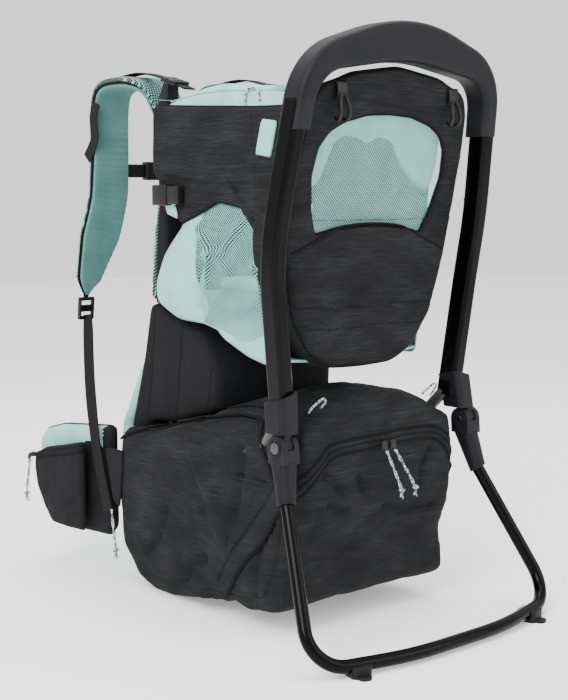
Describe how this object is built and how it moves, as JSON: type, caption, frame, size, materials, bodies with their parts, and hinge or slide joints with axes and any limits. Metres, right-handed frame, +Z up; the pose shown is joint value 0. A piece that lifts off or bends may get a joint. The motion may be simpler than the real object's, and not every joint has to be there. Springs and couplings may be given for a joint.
{
  "type": "baby carrier backpack",
  "caption": "Framed child carrier backpack with a raked rear hoop, fold-away kickstand, child seat, cargo bag, shoulder harness and hip wings.",
  "frame": {"origin": "bottom centre of the bounding box, measured without the cord pulls", "axes": "+Z up, +Y forwards towards the wearer, +X to the wearer's right"},
  "size_m": [0.4426, 0.7457, 0.7811],
  "materials": {
    "black_metal": "gloss black powder coat",
    "bare_tube": "black anodised tube",
    "grey_plastic": "satin moulded",
    "pin_steel": "blackened",
    "buckle_plastic": "moulded",
    "charcoal_heather": "woven heather",
    "dark_fabric": "plain weave",
    "mint_fabric": "soft brushed knit",
    "mint_mesh": "open mesh",
    "strap_mesh": "spacer mesh over padding",
    "black_webbing": "woven webbing",
    "speckled_cord": "braided cord"
  },
  "bodies": {
    "frame": {"rear_hoop": "black_metal", "handle_cover_front": "grey_plastic", "handle_cover_rear": "grey_plastic", "hinge_housing_left": "grey_plastic", "hinge_housing_right": "grey_plastic", "hinge_pins": "pin_steel", "base_frame_tube": "bare_tube", "back_frame_tube": "bare_tube", "back_column": "dark_fabric", "back_panel": "dark_fabric", "lumbar_pad": "mint_fabric", "side_band_left": "charcoal_heather", "side_band_right": "charcoal_heather", "seat_side_left": "mint_mesh", "seat_side_right": "mint_mesh", "seat_base": "mint_fabric", "seat_mesh_window": "mint_mesh", "seat_back_panel": "charcoal_heather", "seat_rim": "mint_fabric", "child_harness": "dark_fabric", "cargo_bag": "charcoal_heather", "side_pockets": "charcoal_heather", "rear_zip_track": "dark_fabric", "gear_loops": "speckled_cord", "seat_clips": "buckle_plastic", "side_buckle_sockets": "buckle_plastic", "load_lifters": "black_webbing", "upper_ladder_locks": "buckle_plastic", "adjuster_straps": "black_webbing"},
    "kickstand": {"kickstand_tube": "black_metal", "kickstand_socket_left": "grey_plastic", "kickstand_socket_right": "grey_plastic", "feet": "grey_plastic"},
    "shoulder_harness": {"yoke": "strap_mesh", "shoulder_pad_left": "strap_mesh", "shoulder_pad_right": "strap_mesh", "lower_ladder_locks": "buckle_plastic", "sternum_socket": "buckle_plastic", "sternum_strap_left": "black_webbing", "sternum_strap_right": "black_webbing"},
    "sternum_tongue": {"sternum_tongue": "buckle_plastic"},
    "hip_wing_left": {"hip_wing_left": "mint_fabric", "hip_pocket_left": "dark_fabric"},
    "hip_wing_right": {"hip_wing_right": "mint_fabric", "hip_pocket_right": "dark_fabric"},
    "hip_strap_left": {"hip_strap_left": "black_webbing", "hip_socket": "buckle_plastic"},
    "hip_strap_right": {"hip_strap_right": "black_webbing", "hip_tongue": "buckle_plastic"},
    "seat_saddle": {"seat_saddle": "mint_fabric"},
    "rear_zip_slider_left": {"rear_zip_slider_left": "buckle_plastic"},
    "rear_pull_left": {"rear_pull_left": "speckled_cord"},
    "hip_pull_left": {"hip_pull_left": "speckled_cord"},
    "side_pull_left": {"side_pull_left": "speckled_cord"},
    "side_buckle_tongue_left": {"side_buckle_tongue_left": "buckle_plastic"},
    "rear_zip_slider_right": {"rear_zip_slider_right": "buckle_plastic"},
    "rear_pull_right": {"rear_pull_right": "speckled_cord"},
    "hip_pull_right": {"hip_pull_right": "speckled_cord"},
    "side_pull_right": {"side_pull_right": "speckled_cord"},
    "side_buckle_tongue_right": {"side_buckle_tongue_right": "buckle_plastic"}
  },
  "joints": [
    {"name": "kickstand_fold", "type": "hinge", "parent": "frame", "child": "kickstand", "pos_m": [0, -0.214, 0.258], "axis": [1, 0, 0], "range_deg": [0, 52]},
    {"name": "torso_length", "type": "slide", "parent": "frame", "child": "shoulder_harness", "axis": [0, 0, 1], "range_m": [-0.08, 0], "deforming": ["load_lifters", "adjuster_straps"]},
    {"name": "sternum_release", "type": "slide", "parent": "shoulder_harness", "child": "sternum_tongue", "axis": [1, 0, 0], "range_m": [0, 0.022], "deforming": ["sternum_strap_right"]},
    {"name": "hip_wing_left_swing", "type": "hinge", "parent": "frame", "child": "hip_wing_left", "pos_m": [-0.13, 0.197, 0.14], "axis": [0, 0, 1], "range_deg": [-18, 12]},
    {"name": "hip_wing_right_swing", "type": "hinge", "parent": "frame", "child": "hip_wing_right", "pos_m": [0.13, 0.197, 0.14], "axis": [0, 0, 1], "range_deg": [-12, 18]},
    {"name": "hip_strap_left_swing", "type": "hinge", "parent": "hip_wing_left", "child": "hip_strap_left", "pos_m": [-0.1225, 0.337, 0.152], "axis": [1, 0, 0], "range_deg": [-50, 50]},
    {"name": "hip_strap_right_swing", "type": "hinge", "parent": "hip_wing_right", "child": "hip_strap_right", "pos_m": [0.1225, 0.337, 0.152], "axis": [1, 0, 0], "range_deg": [-50, 50]},
    {"name": "seat_height", "type": "slide", "parent": "frame", "child": "seat_saddle", "axis": [0, 0, 1], "range_m": [0, 0.07]},
    {"name": "rear_zip_left", "type": "slide", "parent": "frame", "child": "rear_zip_slider_left", "axis": [-1, 0, 0], "range_m": [0, 0.04]},
    {"name": "rear_pull_left_swing", "type": "hinge", "parent": "rear_zip_slider_left", "child": "rear_pull_left", "pos_m": [-0.008, -0.235, 0.236], "axis": [1, 0, 0], "range_deg": [-70, 0]},
    {"name": "hip_pull_left_swing", "type": "hinge", "parent": "hip_wing_left", "child": "hip_pull_left", "pos_m": [-0.184, 0.369, 0.157], "axis": [1, 0, 0], "range_deg": [0, 60]},
    {"name": "side_pull_left_swing", "type": "hinge", "parent": "frame", "child": "side_pull_left", "pos_m": [-0.1655, 0.171, 0.11], "axis": [0, 1, 0], "range_deg": [0, 60]},
    {"name": "side_buckle_left_release", "type": "slide", "parent": "frame", "child": "side_buckle_tongue_left", "axis": [0, -1, 0], "range_m": [0, 0.022]},
    {"name": "rear_zip_right", "type": "slide", "parent": "frame", "child": "rear_zip_slider_right", "axis": [1, 0, 0], "range_m": [0, 0.04]},
    {"name": "rear_pull_right_swing", "type": "hinge", "parent": "rear_zip_slider_right", "child": "rear_pull_right", "pos_m": [0.008, -0.235, 0.236], "axis": [1, 0, 0], "range_deg": [-70, 0]},
    {"name": "hip_pull_right_swing", "type": "hinge", "parent": "hip_wing_right", "child": "hip_pull_right", "pos_m": [0.184, 0.369, 0.157], "axis": [1, 0, 0], "range_deg": [0, 60]},
    {"name": "side_pull_right_swing", "type": "hinge", "parent": "frame", "child": "side_pull_right", "pos_m": [0.1655, 0.171, 0.11], "axis": [0, -1, 0], "range_deg": [0, 60]},
    {"name": "side_buckle_right_release", "type": "slide", "parent": "frame", "child": "side_buckle_tongue_right", "axis": [0, -1, 0], "range_m": [0, 0.022]}
  ]
}
